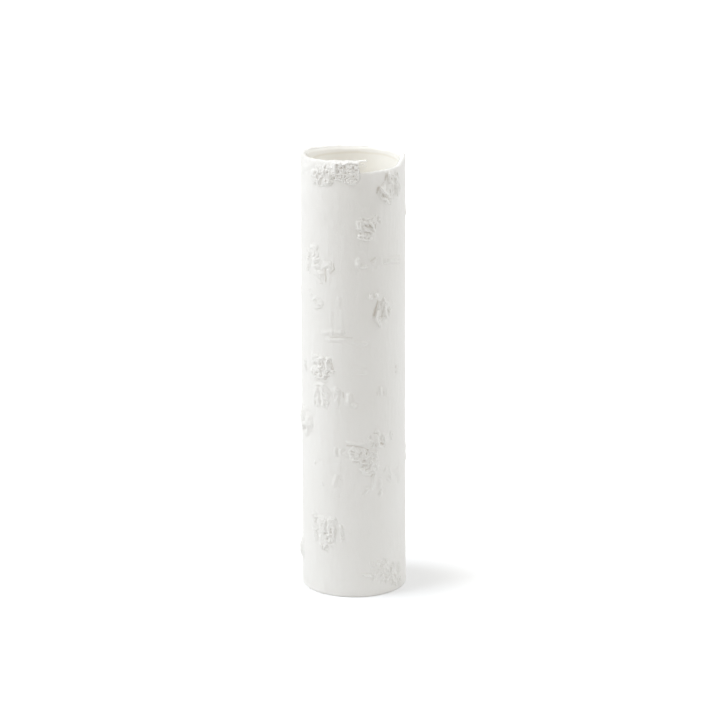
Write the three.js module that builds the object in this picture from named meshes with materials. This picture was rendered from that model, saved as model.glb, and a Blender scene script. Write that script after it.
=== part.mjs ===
// A tall porcelain vase with a bark relief: a rolled slab of clay closed into a tube, luted round a base
// disc, glazed inside, with crusts, knots and welts of clay pressed onto the bare outside.
// Millimetres, +Z up. The origin is the middle of the underside, and the front faces -Y.
// A turn is an angle in degrees round the axis, 0 at the front and growing towards +X.
import * as THREE from "three";

// Driving sizes.
const WALL_HEIGHT = 330; // table to the low part of the rim
const FOOT_RADIUS = 39; // outside, at the table
const MOUTH_DRAW = 0.4; // how much the outside draws in from the foot to the mouth
const WALL_THICKNESS = 3.5;
const WALL_WAVE = 0.25; // how far the hand-rolled outer face wanders from true
const RIM_RISE = 9.1; // the torn front left of the rim, above the low part
const RIM_BAND = 14; // the strip under the rim in which the wall follows its uneven edge
const LIP_ROUND = 1.4; // height of the rounding along the rim
const FOOT_CHAMFER = 0.9;
const BASE_THICKNESS = 5;
const COIL_LEG = 6; // the coil of clay pressed into the corner over the base disc
const GLAZE_THICKNESS = 0.6;
const SLIP_GAP = 0.3; // the film of slip between luted pieces
const CRUST_RELIEF = 3.2; // the boldest crust, above the wall
const SLIVER_DEPTH = 1.3; // a torn sliver of the rim at its root, from back to front
const SLIVER_HEIGHT = 1.1; // the same, from top to bottom

// Angles and counts.
const STEP_TURN = 7; // where the torn part of the rim drops to the low part
const STEP_HALF_TURN = 0.75;
const WALL_COLUMNS = 72;
const GLAZE_COLUMNS = 48;
const LIP_STEPS = 4;
const COIL_STEPS = 4;
const FIRST_PHASE = 1.3; // the pressed-on pieces' outlines and lumps differ by their phase
const PHASE_STEP = 2.1;
const SLIVER_SIDES = 6;
const SLIVER_STEPS = 4;

// The rim's rise past the step, going towards +X: degrees past it, and the share of RIM_RISE there.
const rimRiseShares = [
  [STEP_HALF_TURN, 0],
  [48, 0],
  [58, 0.04],
  [70, 0.28],
  [88, 0.46],
  [113, 0.43],
  [138, 0.32],
  [173, 0.22],
  [208, 0.32],
  [233, 0.5],
  [263, 0.64],
  [298, 0.76],
  [318, 0.87],
  [338, 1],
  [360 - STEP_HALF_TURN, 1],
];

// The slow waves in the outer face: share of WALL_WAVE, waves round the wall, and half waves up it.
const waveShares = [
  [0.6, 2, 1.5],
  [0.4, 5, -2],
];

// The waves in a pressed-on piece's outline: share of its size, and waves round it.
const outlineMeanShare = 0.93;
const outlineShares = [
  [0.07, 2],
  [0.07, 3],
  [0.05, 5],
];

// A pressed-on piece's height at its edge, and how much of its height its crumbs take away at most.
const edgeShare = 0.35;
const hollowShare = 0.56;

// Rings of the outer face, as shares of its height between the foot's chamfer and the rim's band.
const faceRingShares = [1, 0.86, 0.72, 0.58, 0.44, 0.3, 0.15, 0];

// Every pressed-on piece: the turn of its middle, how high that is as a share of WALL_HEIGHT, its span in
// degrees, how tall it is as a share of WALL_HEIGHT, its relief as a share of CRUST_RELIEF, its crumbs
// across, and how far it leans with its height and climbs along its span.
const placedShares = {
  knot_upper_front: [17.5, 0.877, 29, 0.066, 0.95, 2.2],
  knot_small_upper: [8, 0.792, 12, 0.031, 0.45, 1, -0.3],
  knot_upper_right: [26, 0.787, 13, 0.031, 0.4, 1, 0.3],
  welt_upper_right: [50, 0.786, 28, 0.008, 0.25, 2, 0, 1],
  crust_upper_left: [-54.5, 0.788, 31, 0.087, 0.5, 4],
  crust_tail_left: [-28.5, 0.761, 16, 0.054, 0.55, 2, 0.3],
  crust_small_left: [-45, 0.69, 26, 0.041, 0.45, 2.4],
  knot_middle_right: [34, 0.68, 29, 0.079, 0.95, 2.4, 0.35],
  welt_middle_front: [-12, 0.62, 48, 0.014, 0.28, 3, 0, -0.4],
  knot_middle_left: [-43, 0.54, 43, 0.063, 0.85, 3.2],
  welt_lower_front: [7, 0.54, 15, 0.008, 0.22, 1, 0, 0.6],
  knot_small_right: [55.5, 0.53, 6, 0.027, 0.32, 1],
  crust_middle_left: [-39.5, 0.472, 26, 0.057, 0.6, 3],
  crust_middle_front: [-10.5, 0.477, 25, 0.049, 0.5, 2.2, -0.2],
  knot_lower_right: [33.5, 0.493, 18, 0.036, 0.38, 2],
  crust_side_left: [-70, 0.4, 35, 0.081, 0.8, 2.6],
  crust_lower_right: [34, 0.373, 34, 0.045, 0.75, 2.8, 0.2],
  welt_over_crust: [2, 0.369, 21, 0.01, 0.42, 1, 0, -1.6],
  knot_lower_front: [-15.5, 0.346, 17, 0.029, 0.4, 1.6],
  crust_lower_front: [11, 0.317, 33, 0.066, 0.8, 3.2, -0.3],
  crust_trail_right: [43, 0.268, 42, 0.074, 0.42, 3.4, 0.2],
  knot_small_left: [-48.5, 0.312, 15, 0.031, 0.36, 1.4],
  knot_small_front: [-25, 0.277, 19, 0.031, 0.36, 1.4, 0.4],
  crust_lower_left: [-32.5, 0.152, 46, 0.095, 0.7, 4.6],
  crust_side_low: [-84, 0.086, 19, 0.063, 0.75, 1.6],
  crust_foot_right: [26.5, 0.052, 32, 0.062, 0.7, 3.2],
  crust_foot_side: [60, 0.043, 30, 0.077, 0.75, 3],
  crust_back_shoulder: [-116, 0.915, 33, 0.06, 0.75, 3],
  knot_back_upper: [106, 0.88, 24, 0.064, 0.85, 2, -0.2],
  crust_back_upper: [174, 0.775, 38, 0.076, 0.6, 3.6],
  knot_back_left: [-101, 0.69, 21, 0.05, 0.55, 1.8],
  knot_back_right: [119, 0.66, 23, 0.066, 0.85, 2, 0.3],
  crust_back_middle: [-148, 0.6, 36, 0.074, 0.75, 3.2],
  crust_back_lower: [148, 0.48, 38, 0.068, 0.75, 3.4],
  knot_back_lower: [-131, 0.39, 26, 0.062, 0.65, 2.2],
  crust_back_right: [103, 0.31, 32, 0.08, 0.7, 3],
  crust_back_low: [162, 0.22, 40, 0.088, 0.7, 4],
  crust_back_foot: [-142, 0.12, 36, 0.078, 0.8, 3.4],
};

// The pieces under the rim, the same but for their second number: how far down they hang, as a share of
// their own tallness.
const hungShares = {
  crust_rim_front: [-9, 0.02, 28, 0.056, 1.1, 3.6],
  crust_rim_left: [-41, 0.13, 32, 0.056, 0.8, 3.8],
  crust_rim_right: [50, 0.08, 22, 0.034, 0.95, 2.6],
  crust_shoulder_right: [45, 0.84, 35, 0.05, 1.05, 3.4, -0.2],
  crust_back_rim: [156, 0.05, 31, 0.046, 0.85, 3.4],
};

// The torn slivers of the rim: length in degrees, how far below the rim's highest point they start and end
// as shares of RIM_RISE, and their thickness as a share of the slivers' size. Then how much they taper.
const sliverShares = {
  sliver_rim_upper: [9.5, 0.02, 0.04, 1],
  sliver_rim_lower: [8.5, 0.2, 0.52, 0.85],
};
const sliverTaperShare = 0.7;

const bareClay = new THREE.MeshStandardMaterial({ color: "#efeeea", roughness: 0.72, metalness: 0 });
const crustClay = new THREE.MeshStandardMaterial({ color: "#edebe6", roughness: 0.82, metalness: 0 });
const creamGlaze = new THREE.MeshStandardMaterial({ color: "#ece5d3", roughness: 0.14, metalness: 0 });

const vase = new THREE.Group();

function addPiece(name, geometry, material) {
  const piece = new THREE.Mesh(geometry, material);
  piece.name = name;
  vase.add(piece);
}

function pointAt(turn, radius, z) {
  const angle = THREE.MathUtils.degToRad(turn);
  return new THREE.Vector3(radius * Math.sin(angle), -radius * Math.cos(angle), z);
}

// A closed surface through rows of points that all go round the same way. With poles its two ends are
// fans, and without them its last row meets its first, as on a tube with a bore.
function closedSurface(rows, firstPole, lastPole) {
  const points = rows.flat();
  const across = rows[0].length;
  const faces = [];
  const at = (row, column) => (row % rows.length) * across + (column % across);
  const strips = firstPole ? rows.length - 1 : rows.length;
  for (let row = 0; row < strips; row += 1) {
    for (let column = 0; column < across; column += 1) {
      const [a, b] = [at(row, column), at(row + 1, column)];
      const [c, d] = [at(row + 1, column + 1), at(row, column + 1)];
      faces.push(a, b, c, a, c, d);
    }
  }
  if (firstPole) {
    const [first, last] = [points.length, points.length + 1];
    points.push(firstPole, lastPole);
    for (let column = 0; column < across; column += 1) {
      faces.push(first, at(0, column), at(0, column + 1));
      faces.push(last, at(rows.length - 1, column + 1), at(rows.length - 1, column));
    }
  }
  const geometry = new THREE.BufferGeometry().setFromPoints(points);
  geometry.setIndex(faces);
  geometry.computeVertexNormals();
  return geometry;
}

// Even turns round the axis, with the two edges of the rim's step between them.
function turnsRound(columns) {
  const even = Array.from({ length: columns }, (_, column) => (column * 360) / columns);
  const clear = even.filter((turn) => Math.abs(turn - STEP_TURN) > 2 * STEP_HALF_TURN);
  return [...clear, STEP_TURN - STEP_HALF_TURN, STEP_TURN + STEP_HALF_TURN].sort((a, b) => a - b);
}

// A profile of [radius, z] points that changes with the turn, carried round the axis as rows of points.
function rowsRound(columns, profileAt) {
  const turns = turnsRound(columns);
  const profiles = turns.map(profileAt);
  const row = (place) => turns.map((turn, column) => pointAt(turn, ...profiles[column][place]));
  return profiles[0].map((_, place) => row(place));
}

function trueRadius(z) {
  return FOOT_RADIUS - MOUTH_DRAW * (z / WALL_HEIGHT) ** 2;
}

function innerRadius(z) {
  return trueRadius(z) - WALL_THICKNESS;
}

// The outer face wanders a little from true, as a slab does that is rolled and closed by hand.
function outerRadius(turn, z) {
  const angle = THREE.MathUtils.degToRad(turn);
  const climb = (z / WALL_HEIGHT) * Math.PI;
  const waves = waveShares.map(([share, round, up]) => share * Math.sin(round * angle + up * climb));
  return trueRadius(z) + WALL_WAVE * waves.reduce((sum, wave) => sum + wave);
}

function rimHeight(turn) {
  const past = THREE.MathUtils.euclideanModulo(turn - STEP_TURN, 360);
  const next = rimRiseShares.findIndex(([degrees]) => degrees >= past);
  const [fromTurn, fromShare] = rimRiseShares[Math.max(next, 1) - 1];
  const [toTurn, toShare] = rimRiseShares[Math.max(next, 1)];
  const blend = THREE.MathUtils.smoothstep(past, fromTurn, toTurn);
  return WALL_HEIGHT + RIM_RISE * THREE.MathUtils.lerp(fromShare, toShare, blend);
}

// The slab wall: down the outside from the lip to the foot, then up the inside.
function wallGeometry() {
  const bandFoot = WALL_HEIGHT - RIM_BAND;
  const profileAt = (turn) => {
    const top = rimHeight(turn) - LIP_ROUND;
    const lip = Array.from({ length: LIP_STEPS + 1 }, (_, step) => {
      const sweep = Math.PI * (1 - step / LIP_STEPS);
      const middle = (outerRadius(turn, top) + innerRadius(top)) / 2;
      const halfWall = (outerRadius(turn, top) - innerRadius(top)) / 2;
      return [middle + halfWall * Math.cos(sweep), top + LIP_ROUND * Math.sin(sweep)];
    });
    const face = faceRingShares.map((share) => {
      const z = FOOT_CHAMFER + share * (bandFoot - FOOT_CHAMFER);
      return [outerRadius(turn, z), z];
    });
    const foot = [
      [outerRadius(turn, 0) - FOOT_CHAMFER, 0],
      [innerRadius(0), 0],
    ];
    const bore = [[innerRadius(bandFoot), bandFoot]];
    return [...lip, ...face, ...foot, ...bore];
  };
  return closedSurface(rowsRound(WALL_COLUMNS, profileAt));
}

// The base disc stands inside the wall's foot, flush with the underside.
function baseGeometry() {
  const radius = innerRadius(BASE_THICKNESS) - SLIP_GAP;
  const disc = new THREE.CylinderGeometry(radius, radius, BASE_THICKNESS, WALL_COLUMNS);
  disc.rotateX(Math.PI / 2);
  disc.translate(0, 0, BASE_THICKNESS / 2);
  return disc;
}

// The coil's hollow face is a quarter round from the bore down to the disc.
function coilProfile() {
  const seat = innerRadius(BASE_THICKNESS + COIL_LEG) - SLIP_GAP;
  return Array.from({ length: COIL_STEPS + 1 }, (_, step) => {
    const sweep = (Math.PI / 2) * (step / COIL_STEPS);
    const z = BASE_THICKNESS + COIL_LEG * (1 - Math.sin(sweep));
    return new THREE.Vector2(seat - COIL_LEG * (1 - Math.cos(sweep)), z);
  });
}

function coilGeometry() {
  const hollow = coilProfile();
  const corner = new THREE.Vector2(hollow[0].x, BASE_THICKNESS);
  const coil = new THREE.LatheGeometry([...hollow, corner, hollow[0]], GLAZE_COLUMNS);
  coil.rotateX(Math.PI / 2);
  return coil;
}

// The glaze coats the floor, the coil and the bore up to the lip: out over the floor and up its inner
// face, then down its back.
function glazeGeometry() {
  const clear = SLIP_GAP;
  const hollow = coilProfile();
  const backAt = (turn) => {
    const top = rimHeight(turn) - LIP_ROUND;
    const bore = [
      [innerRadius(top) - clear, top],
      [hollow[0].x - clear, hollow[0].y + clear],
    ];
    const corner = hollow.slice(1, -1).map((point) => [point.x - clear, point.y + clear]);
    const toe = [hollow[COIL_STEPS].x - clear, BASE_THICKNESS];
    return [...bore, ...corner, toe];
  };
  const faceAt = (turn) =>
    backAt(turn)
      .map(([radius, z], row) => [radius - GLAZE_THICKNESS, row ? z + GLAZE_THICKNESS : z])
      .reverse();
  const rows = rowsRound(GLAZE_COLUMNS, (turn) => [...faceAt(turn), ...backAt(turn)]);
  const middle = (z) => new THREE.Vector3(0, 0, z);
  return closedSurface(rows, middle(BASE_THICKNESS + GLAZE_THICKNESS), middle(BASE_THICKNESS));
}

// An uneven closed outline of about unit size, different for each piece.
function outlineRadius(angle, phase) {
  const wave = ([share, round], place) => share * Math.sin(round * angle + (place + 1) * phase);
  const waves = outlineShares.map(wave);
  return waves.reduce((sum, wave) => sum + wave, outlineMeanShare);
}

// How proud a piece stands at a place in its outline: 1 on a crumb's crest near the middle, and less in
// the hollows between crumbs and towards the edge. The crumbs lie in rows that cross at a slant.
function crumbHeight(across, up, reach, crumbs, phase) {
  const crown = THREE.MathUtils.lerp(edgeShare, 1, Math.sqrt(1 - reach * reach));
  const alongRow = Math.sin(2 * crumbs * (across + up / 2) + phase);
  const acrossRows = Math.sin(2 * crumbs * (up - across / 3) + 2 * phase);
  return crown * (1 - (hollowShare / 2) * (1 - alongRow * acrossRows));
}

// A pressed-on piece: its face goes out from the middle to its edge, and its back follows the wall.
function reliefGeometry(shares, hangs, phase) {
  const [turn, place, span, tallShare, reliefShare, crumbs, lean = 0, climb = 0] = shares;
  const tall = tallShare * WALL_HEIGHT;
  const relief = reliefShare * CRUST_RELIEF;
  const middle = hangs ? rimHeight(turn) - tall / 2 - place * tall : place * WALL_HEIGHT;
  const fine = Math.min(1, crumbs / 3);
  const columns = 2 * Math.round(5 + 4 * fine);
  const faceRings = Math.round(2 + 3 * fine);
  const backRings = 2;
  const wallPoint = (reach, angle, proud) => {
    const edge = reach * outlineRadius(angle, phase);
    const [across, up] = [edge * Math.cos(angle), edge * Math.sin(angle)];
    const placeTurn = turn + (span / 2) * (across + lean * up);
    const z = middle + (tall / 2) * (up + climb * across);
    const height = proud ? relief * crumbHeight(across, up, reach, crumbs, phase) : 0;
    return pointAt(placeTurn, outerRadius(placeTurn, z) + SLIP_GAP + height, z);
  };
  const row = (reach, proud) =>
    Array.from({ length: columns }, (_, column) => wallPoint(reach, (column / columns) * 2 * Math.PI, proud));
  const face = Array.from({ length: faceRings }, (_, ring) => row((ring + 1) / faceRings, true));
  const back = Array.from({ length: backRings }, (_, ring) => row(1 - ring / backRings, false));
  return closedSurface([...face, ...back], wallPoint(0, 0, true), wallPoint(0, 0, false));
}

// A torn sliver of the rim: it starts beside the step's sloping face and tapers to a blunt tip.
function sliverGeometry([length, rootDrop, tipDrop, thick]) {
  const wallMiddle = (trueRadius(WALL_HEIGHT) + innerRadius(WALL_HEIGHT)) / 2;
  const rootFoot = rootDrop + (SLIVER_HEIGHT * thick) / RIM_RISE;
  const stepTurn = STEP_TURN + STEP_HALF_TURN * (2 * rootFoot - 1);
  const rootTurn = stepTurn + THREE.MathUtils.radToDeg(SLIP_GAP / wallMiddle);
  const top = WALL_HEIGHT + RIM_RISE;
  const centreAt = (along) => {
    const drop = THREE.MathUtils.lerp(rootDrop, tipDrop, along * along) * RIM_RISE;
    return [rootTurn + length * along, top - drop - (SLIVER_HEIGHT / 2) * thick];
  };
  const rows = Array.from({ length: SLIVER_STEPS + 1 }, (_, step) => {
    const along = step / SLIVER_STEPS;
    const [turn, z] = centreAt(along);
    const size = thick * (1 - sliverTaperShare * along * along);
    return Array.from({ length: SLIVER_SIDES }, (__, side) => {
      const angle = (side / SLIVER_SIDES) * 2 * Math.PI;
      const radius = wallMiddle + (SLIVER_DEPTH / 2) * size * Math.cos(angle);
      return pointAt(turn, radius, z + (SLIVER_HEIGHT / 2) * size * Math.sin(angle));
    });
  });
  const [root, tip] = [centreAt(0), centreAt(1)];
  return closedSurface(rows, pointAt(root[0], wallMiddle, root[1]), pointAt(tip[0], wallMiddle, tip[1]));
}

addPiece("outer_wall", wallGeometry(), bareClay);
addPiece("base_disc", baseGeometry(), bareClay);
addPiece("corner_coil", coilGeometry(), bareClay);
addPiece("glaze_lining", glazeGeometry(), creamGlaze);
Object.entries(hungShares).forEach(([name, shares], index) => {
  addPiece(name, reliefGeometry(shares, true, FIRST_PHASE + PHASE_STEP * index), crustClay);
});
Object.entries(placedShares).forEach(([name, shares], index) => {
  addPiece(name, reliefGeometry(shares, false, FIRST_PHASE - PHASE_STEP * index), crustClay);
});
Object.entries(sliverShares).forEach(([name, shares]) => {
  addPiece(name, sliverGeometry(shares), crustClay);
});

export default vase;
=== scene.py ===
import math

import bmesh
import bpy
import numpy as np
from mathutils import Matrix, Quaternion, Vector, noise


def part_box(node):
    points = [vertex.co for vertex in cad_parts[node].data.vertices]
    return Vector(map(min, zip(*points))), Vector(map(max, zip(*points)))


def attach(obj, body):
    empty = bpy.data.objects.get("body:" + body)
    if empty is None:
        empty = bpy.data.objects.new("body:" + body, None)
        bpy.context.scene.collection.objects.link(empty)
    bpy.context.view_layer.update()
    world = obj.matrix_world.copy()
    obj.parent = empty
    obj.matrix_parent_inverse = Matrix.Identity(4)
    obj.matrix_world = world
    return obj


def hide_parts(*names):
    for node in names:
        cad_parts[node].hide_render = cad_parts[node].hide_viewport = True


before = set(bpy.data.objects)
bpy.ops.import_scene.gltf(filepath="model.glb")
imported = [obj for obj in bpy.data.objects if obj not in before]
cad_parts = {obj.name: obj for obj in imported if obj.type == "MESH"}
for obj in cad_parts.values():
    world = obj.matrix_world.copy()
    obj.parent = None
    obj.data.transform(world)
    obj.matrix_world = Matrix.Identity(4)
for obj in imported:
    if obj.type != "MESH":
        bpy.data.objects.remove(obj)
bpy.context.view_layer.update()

# Bare porcelain: fired without glaze, so matte and faintly warm, with a fine tooth from the clay and a
# slow unevenness of tone. In the hollows of the pats the colour is painted shade: darker and warmer, to
# stand in for the shade that falls there. The slab's face also has fine streaks up it, left by the rib
# that smoothed it.
BARE_LIGHT = (0.885, 0.875, 0.85, 1)
BARE_WARM = (0.86, 0.845, 0.812, 1)
# The colour of the painted shade in the hollows of the pats.
BARE_PAINTED_SHADE = (0.66, 0.62, 0.565, 1)
BARE_ROUGHNESS = 0.74
ROUGHNESS_SPREAD = 0.12
CLAY_SHINE = 0.3
TONE_SCALE = 22
TOOTH_SCALE = 1500
SLAB_TOOTH = 0.0002
CRUST_TOOTH = 0.00032
RIBBING_SCALE = 420
RIBBING_DRAWN = (1, 1, 0.1)
SLAB_RIBBING = 0.00023


class Wire:
    """A socket of a node tree. Sums and products of wires add the Math nodes that they need."""

    def __init__(self, tree, socket=None):
        self.tree = tree
        self.socket = socket

    def node(self, kind, settings, inputs, outlet=0):
        made = self.tree.nodes.new(kind)
        for name, value in settings.items():
            setattr(made, name, value)
        for name, value in inputs.items():
            if isinstance(value, Wire):
                self.tree.links.new(value.socket, made.inputs[name])
            else:
                made.inputs[name].default_value = value
        return Wire(self.tree, made.outputs[outlet])

    def _math(self, operation, first, second):
        return self.node("ShaderNodeMath", {"operation": operation}, {0: first, 1: second})

    def __add__(self, other):
        return self._math("ADD", self, other)

    def __radd__(self, other):
        return self._math("ADD", other, self)

    def __sub__(self, other):
        return self._math("SUBTRACT", self, other)

    def __rsub__(self, other):
        return self._math("SUBTRACT", other, self)

    def __mul__(self, other):
        return self._math("MULTIPLY", self, other)

    def __rmul__(self, other):
        return self._math("MULTIPLY", other, self)

    def mixed(self, low, high):
        """The colour that goes from low to high as this wire goes from 0 to 1."""
        return self.node("ShaderNodeMix", {"data_type": "RGBA"}, {0: self, 6: low, 7: high}, outlet=2)

    def mottled(self, scale, detail):
        """Noise over the places that this wire gives."""
        return self.node("ShaderNodeTexNoise", {}, {"Vector": self, "Scale": scale, "Detail": detail})

    def into(self, socket):
        self.tree.links.new(self.socket, socket)


def blank(name):
    """A new material, the wires of its node tree and its shader."""
    material = bpy.data.materials.new(name)
    material.use_nodes = True
    return material, Wire(material.node_tree), material.node_tree.nodes["Principled BSDF"]


def clay(name, tooth_height, ribbing_height):
    """A material of bare porcelain, with its tooth and its streaks up the wall at the given heights.
    Hollows that its pieces mark get painted shade, a darker and warmer colour.
    """
    material, wires, shader = blank(name)
    place = wires.node("ShaderNodeTexCoord", {}, {}, outlet="Object")
    tone = place.mottled(TONE_SCALE, 3)
    tooth = place.mottled(TOOTH_SCALE, 4)
    drawn = wires.node("ShaderNodeMapping", {}, {"Vector": place, "Scale": RIBBING_DRAWN})
    ribbing = drawn.mottled(RIBBING_SCALE, 3)
    # Painted shade: where a piece marks a hollow, the colour goes darker and warmer in place of shade.
    hollow_shade = wires.node("ShaderNodeAttribute", {"attribute_name": "hollow_shade"}, {}, outlet="Fac")
    colour = hollow_shade.mixed(tone.mixed(BARE_LIGHT, BARE_WARM), BARE_PAINTED_SHADE)
    height = tooth * tooth_height + ribbing * ribbing_height
    bump = wires.node("ShaderNodeBump", {}, {"Strength": 1, "Distance": 1, "Height": height})
    roughness = tooth * ROUGHNESS_SPREAD + (BARE_ROUGHNESS - ROUGHNESS_SPREAD / 2)
    colour.into(shader.inputs["Base Color"])
    roughness.into(shader.inputs["Roughness"])
    bump.into(shader.inputs["Normal"])
    shader.inputs["Specular IOR Level"].default_value = CLAY_SHINE
    return material


bare_clay = clay("bare_porcelain", SLAB_TOOTH, SLAB_RIBBING)
crust_clay = clay("crust_porcelain", CRUST_TOOTH, 0)

# The slab wall: clay rolled thin, wrapped round a former and closed into a tube. Its outer face wanders
# a little from true, with streaks up it and short dashes across it. Its torn upper edge is left as it
# was, high at the front left and low at the front right with a step between them.
RIM_RISE = 0.0091
WALL_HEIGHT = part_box("outer_wall")[1].z - RIM_RISE
FOOT_RADIUS = 0.039
MOUTH_DRAW = 0.0004
WALL_THICKNESS = 0.0035
WALL_WAVE = 0.00025
RIM_BAND = 0.014
LIP_ROUND = 0.0014
FOOT_CHAMFER = 0.0009
STEP_TURN = 7
STEP_HALF_TURN = 0.75
LIP_WEAR = 0.0007
LIP_WEAR_SIZE = 0.004
WALL_COLUMNS = 288
STEP_CROWDING = 0.75
STEP_CROWD_TURN = 6
BORE_ROWS = 2
TORN_BORE_ROWS = 6
TORN_FACE_ROWS = 16
FACE_ROWS = 290
STREAK_HEIGHT = 0.00015
STREAK_SHARE = 0.7
STREAK_WIDTH = 0.002
SWELL_WIDTH = 0.007
DRAWN_OUT = 4
DASHES = 130
DASHES_LOW, DASHES_HIGH = 0.012, 0.02
DASH_HEIGHT = 0.00026
DASH_HALF_LONG = (0.002, 0.005)
DASH_HALF_WIDE = (0.0005, 0.0009)
DASH_TIP = 0.08

# Degrees past the step, going towards +X, and the share of RIM_RISE that the rim stands at there.
RIM_RISE_SHARES = [
    (-STEP_HALF_TURN, 1), (STEP_HALF_TURN, 0), (48, 0), (58, 0.04), (70, 0.28), (88, 0.46), (113, 0.43),
    (138, 0.32), (173, 0.22), (208, 0.32), (233, 0.5), (263, 0.64), (298, 0.76), (318, 0.87), (338, 1),
    (360 - STEP_HALF_TURN, 1),
]


def true_radius(z):
    return FOOT_RADIUS - MOUTH_DRAW * (z / WALL_HEIGHT) ** 2


def inner_radius(z):
    return true_radius(z) - WALL_THICKNESS


def skin(turn, z):
    """The radius of the wall's outer face, before its fine marks."""
    angle = np.radians(turn)
    climb = np.pi * z / WALL_HEIGHT
    wander = 0.6 * np.sin(2 * angle + 1.5 * climb) + 0.4 * np.sin(5 * angle - 2 * climb)
    return true_radius(z) + WALL_WAVE * wander


def rim_height(turn):
    past = (turn - STEP_TURN + STEP_HALF_TURN) % 360 - STEP_HALF_TURN
    turns, shares = np.array(RIM_RISE_SHARES).T
    after = np.clip(np.searchsorted(turns, past), 1, len(turns) - 1)
    blend = np.clip((past - turns[after - 1]) / (turns[after] - turns[after - 1]), 0, 1)
    blend = blend * blend * (3 - 2 * blend)
    return WALL_HEIGHT + RIM_RISE * (shares[after - 1] + (shares[after] - shares[after - 1]) * blend)


def rough(across, up, size, octaves=2, seed=0.0):
    """Noise between about -1 and 1, with lumps of the given size."""
    pairs = zip((across / size).ravel(), (up / size).ravel())
    heights = [noise.fractal(Vector((s, t, seed)), 1, 2, octaves) for s, t in pairs]
    return np.array(heights).reshape(across.shape)


def worn_rim(turn):
    """The rim's top edge: the torn edge of the slab, worn down by a varying hair."""
    angle = np.radians(turn)
    wear = rough(FOOT_RADIUS * np.sin(angle), FOOT_RADIUS * np.cos(angle), LIP_WEAR_SIZE, 3, seed=4.2)
    return rim_height(turn) - LIP_WEAR * np.clip(0.5 + 0.9 * wear, 0, 1)


def points_of(mesh):
    points = np.zeros(len(mesh.vertices) * 3)
    mesh.vertices.foreach_get("co", points)
    return points.reshape(-1, 3)


def wrapped(turn, radius, z):
    """Points at a turn in degrees, a radius and a height, as rows of x, y, z."""
    angle = np.radians(turn)
    return np.column_stack([radius * np.sin(angle), -radius * np.cos(angle), z])


def added(name, data):
    """An object of the data, in the scene."""
    piece = bpy.data.objects.new(name, data)
    bpy.context.scene.collection.objects.link(piece)
    return piece


def finished(bm, name, points, material):
    """Turns the bmesh into an object whose vertices lie at the points, with its faces outwards."""
    mesh = bpy.data.meshes.new(name)
    bm.to_mesh(mesh)
    bm.free()
    mesh.vertices.foreach_set("co", points.ravel())
    shell = bmesh.new()
    shell.from_mesh(mesh)
    bmesh.ops.recalc_face_normals(shell, faces=shell.faces)
    shell.to_mesh(mesh)
    shell.free()
    mesh.shade_smooth()
    mesh.materials.append(material)
    return added(name, mesh)


def fired(piece, node):
    """Hides the CAD node that the piece stands for and hangs the piece on the root body. The fired vase is
    one rigid body.
    """
    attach(piece, "root")
    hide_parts(node)


def spun(profile, cuts, columns):
    """A bmesh of the closed profile of (radius, z) points carried round the axis. Each of the profile's
    edges is first cut as many times as cuts says."""
    bm = bmesh.new()
    corners = [bm.verts.new((radius, 0, z)) for radius, z in profile]
    ring = zip(corners, corners[1:] + corners[:1])
    edges = [bm.edges.new(pair) for pair in ring]
    for edge, cut in zip(edges, cuts):
        if cut:
            bmesh.ops.subdivide_edges(bm, edges=[edge], cuts=cut)
    bmesh.ops.spin(bm, geom=bm.verts[:] + bm.edges[:], axis=(0, 0, 1), cent=(0, 0, 0),
                   steps=columns, angle=2 * math.pi, use_merge=True)
    bmesh.ops.remove_doubles(bm, verts=bm.verts, dist=1e-7)
    return bm


LIP_STEPS = 8
bore = FOOT_RADIUS - WALL_THICKNESS
lip = [
    (bore + WALL_THICKNESS * (1 - math.cos(math.pi * step / LIP_STEPS)) / 2,
     WALL_HEIGHT - LIP_ROUND + LIP_ROUND * math.sin(math.pi * step / LIP_STEPS))
    for step in range(LIP_STEPS + 1)
]
wall_profile = [(bore, 0), (bore, WALL_HEIGHT - RIM_BAND), *lip, (FOOT_RADIUS, WALL_HEIGHT - RIM_BAND),
                (FOOT_RADIUS, FOOT_CHAMFER), (FOOT_RADIUS - FOOT_CHAMFER, 0)]
wall_cuts = [BORE_ROWS, TORN_BORE_ROWS, *[0] * LIP_STEPS, TORN_FACE_ROWS, FACE_ROWS, 0, 0]
wall = spun(wall_profile, wall_cuts, WALL_COLUMNS)
x, y, z = np.array([v.co for v in wall.verts]).T

# The columns crowd towards the step, and the band under the rim is stretched up to the torn edge.
even_turn = np.degrees(np.arctan2(x, -y)) - STEP_TURN
even_turn = (even_turn + 180) % 360 - 180
turn = STEP_TURN + even_turn * (1 - STEP_CROWDING * np.exp(-((even_turn / STEP_CROWD_TURN) ** 2)))
outward = (np.hypot(x, y) - bore) / WALL_THICKNESS
lift = worn_rim(turn) - WALL_HEIGHT
torn = np.clip((z - WALL_HEIGHT + RIM_BAND) / (RIM_BAND - LIP_ROUND), 0, 1)
z = z + lift * torn

arc = np.radians(turn) * FOOT_RADIUS
streaks = STREAK_SHARE * rough(arc, z / DRAWN_OUT, STREAK_WIDTH, 3, seed=1.7)
streaks += rough(arc, z, SWELL_WIDTH, 2, seed=2.9)
dashes = np.zeros(len(z))
dice = np.random.default_rng(11)
for _ in range(DASHES):
    middle, height = dice.uniform(-180, 180), dice.uniform(DASHES_LOW, WALL_HEIGHT - DASHES_HIGH)
    half_long, half_wide = dice.uniform(*DASH_HALF_LONG), dice.uniform(*DASH_HALF_WIDE)
    rise, tip = dice.uniform(-1, 1), dice.uniform(-DASH_TIP, DASH_TIP)
    along = np.radians((turn - middle + 180) % 360 - 180) * FOOT_RADIUS
    off = z - height - tip * along
    dashes += rise * np.exp(-((along / half_long) ** 4) - (off / half_wide) ** 2)
marks = STREAK_HEIGHT * streaks + DASH_HEIGHT * dashes
inside = inner_radius(z)
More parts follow.
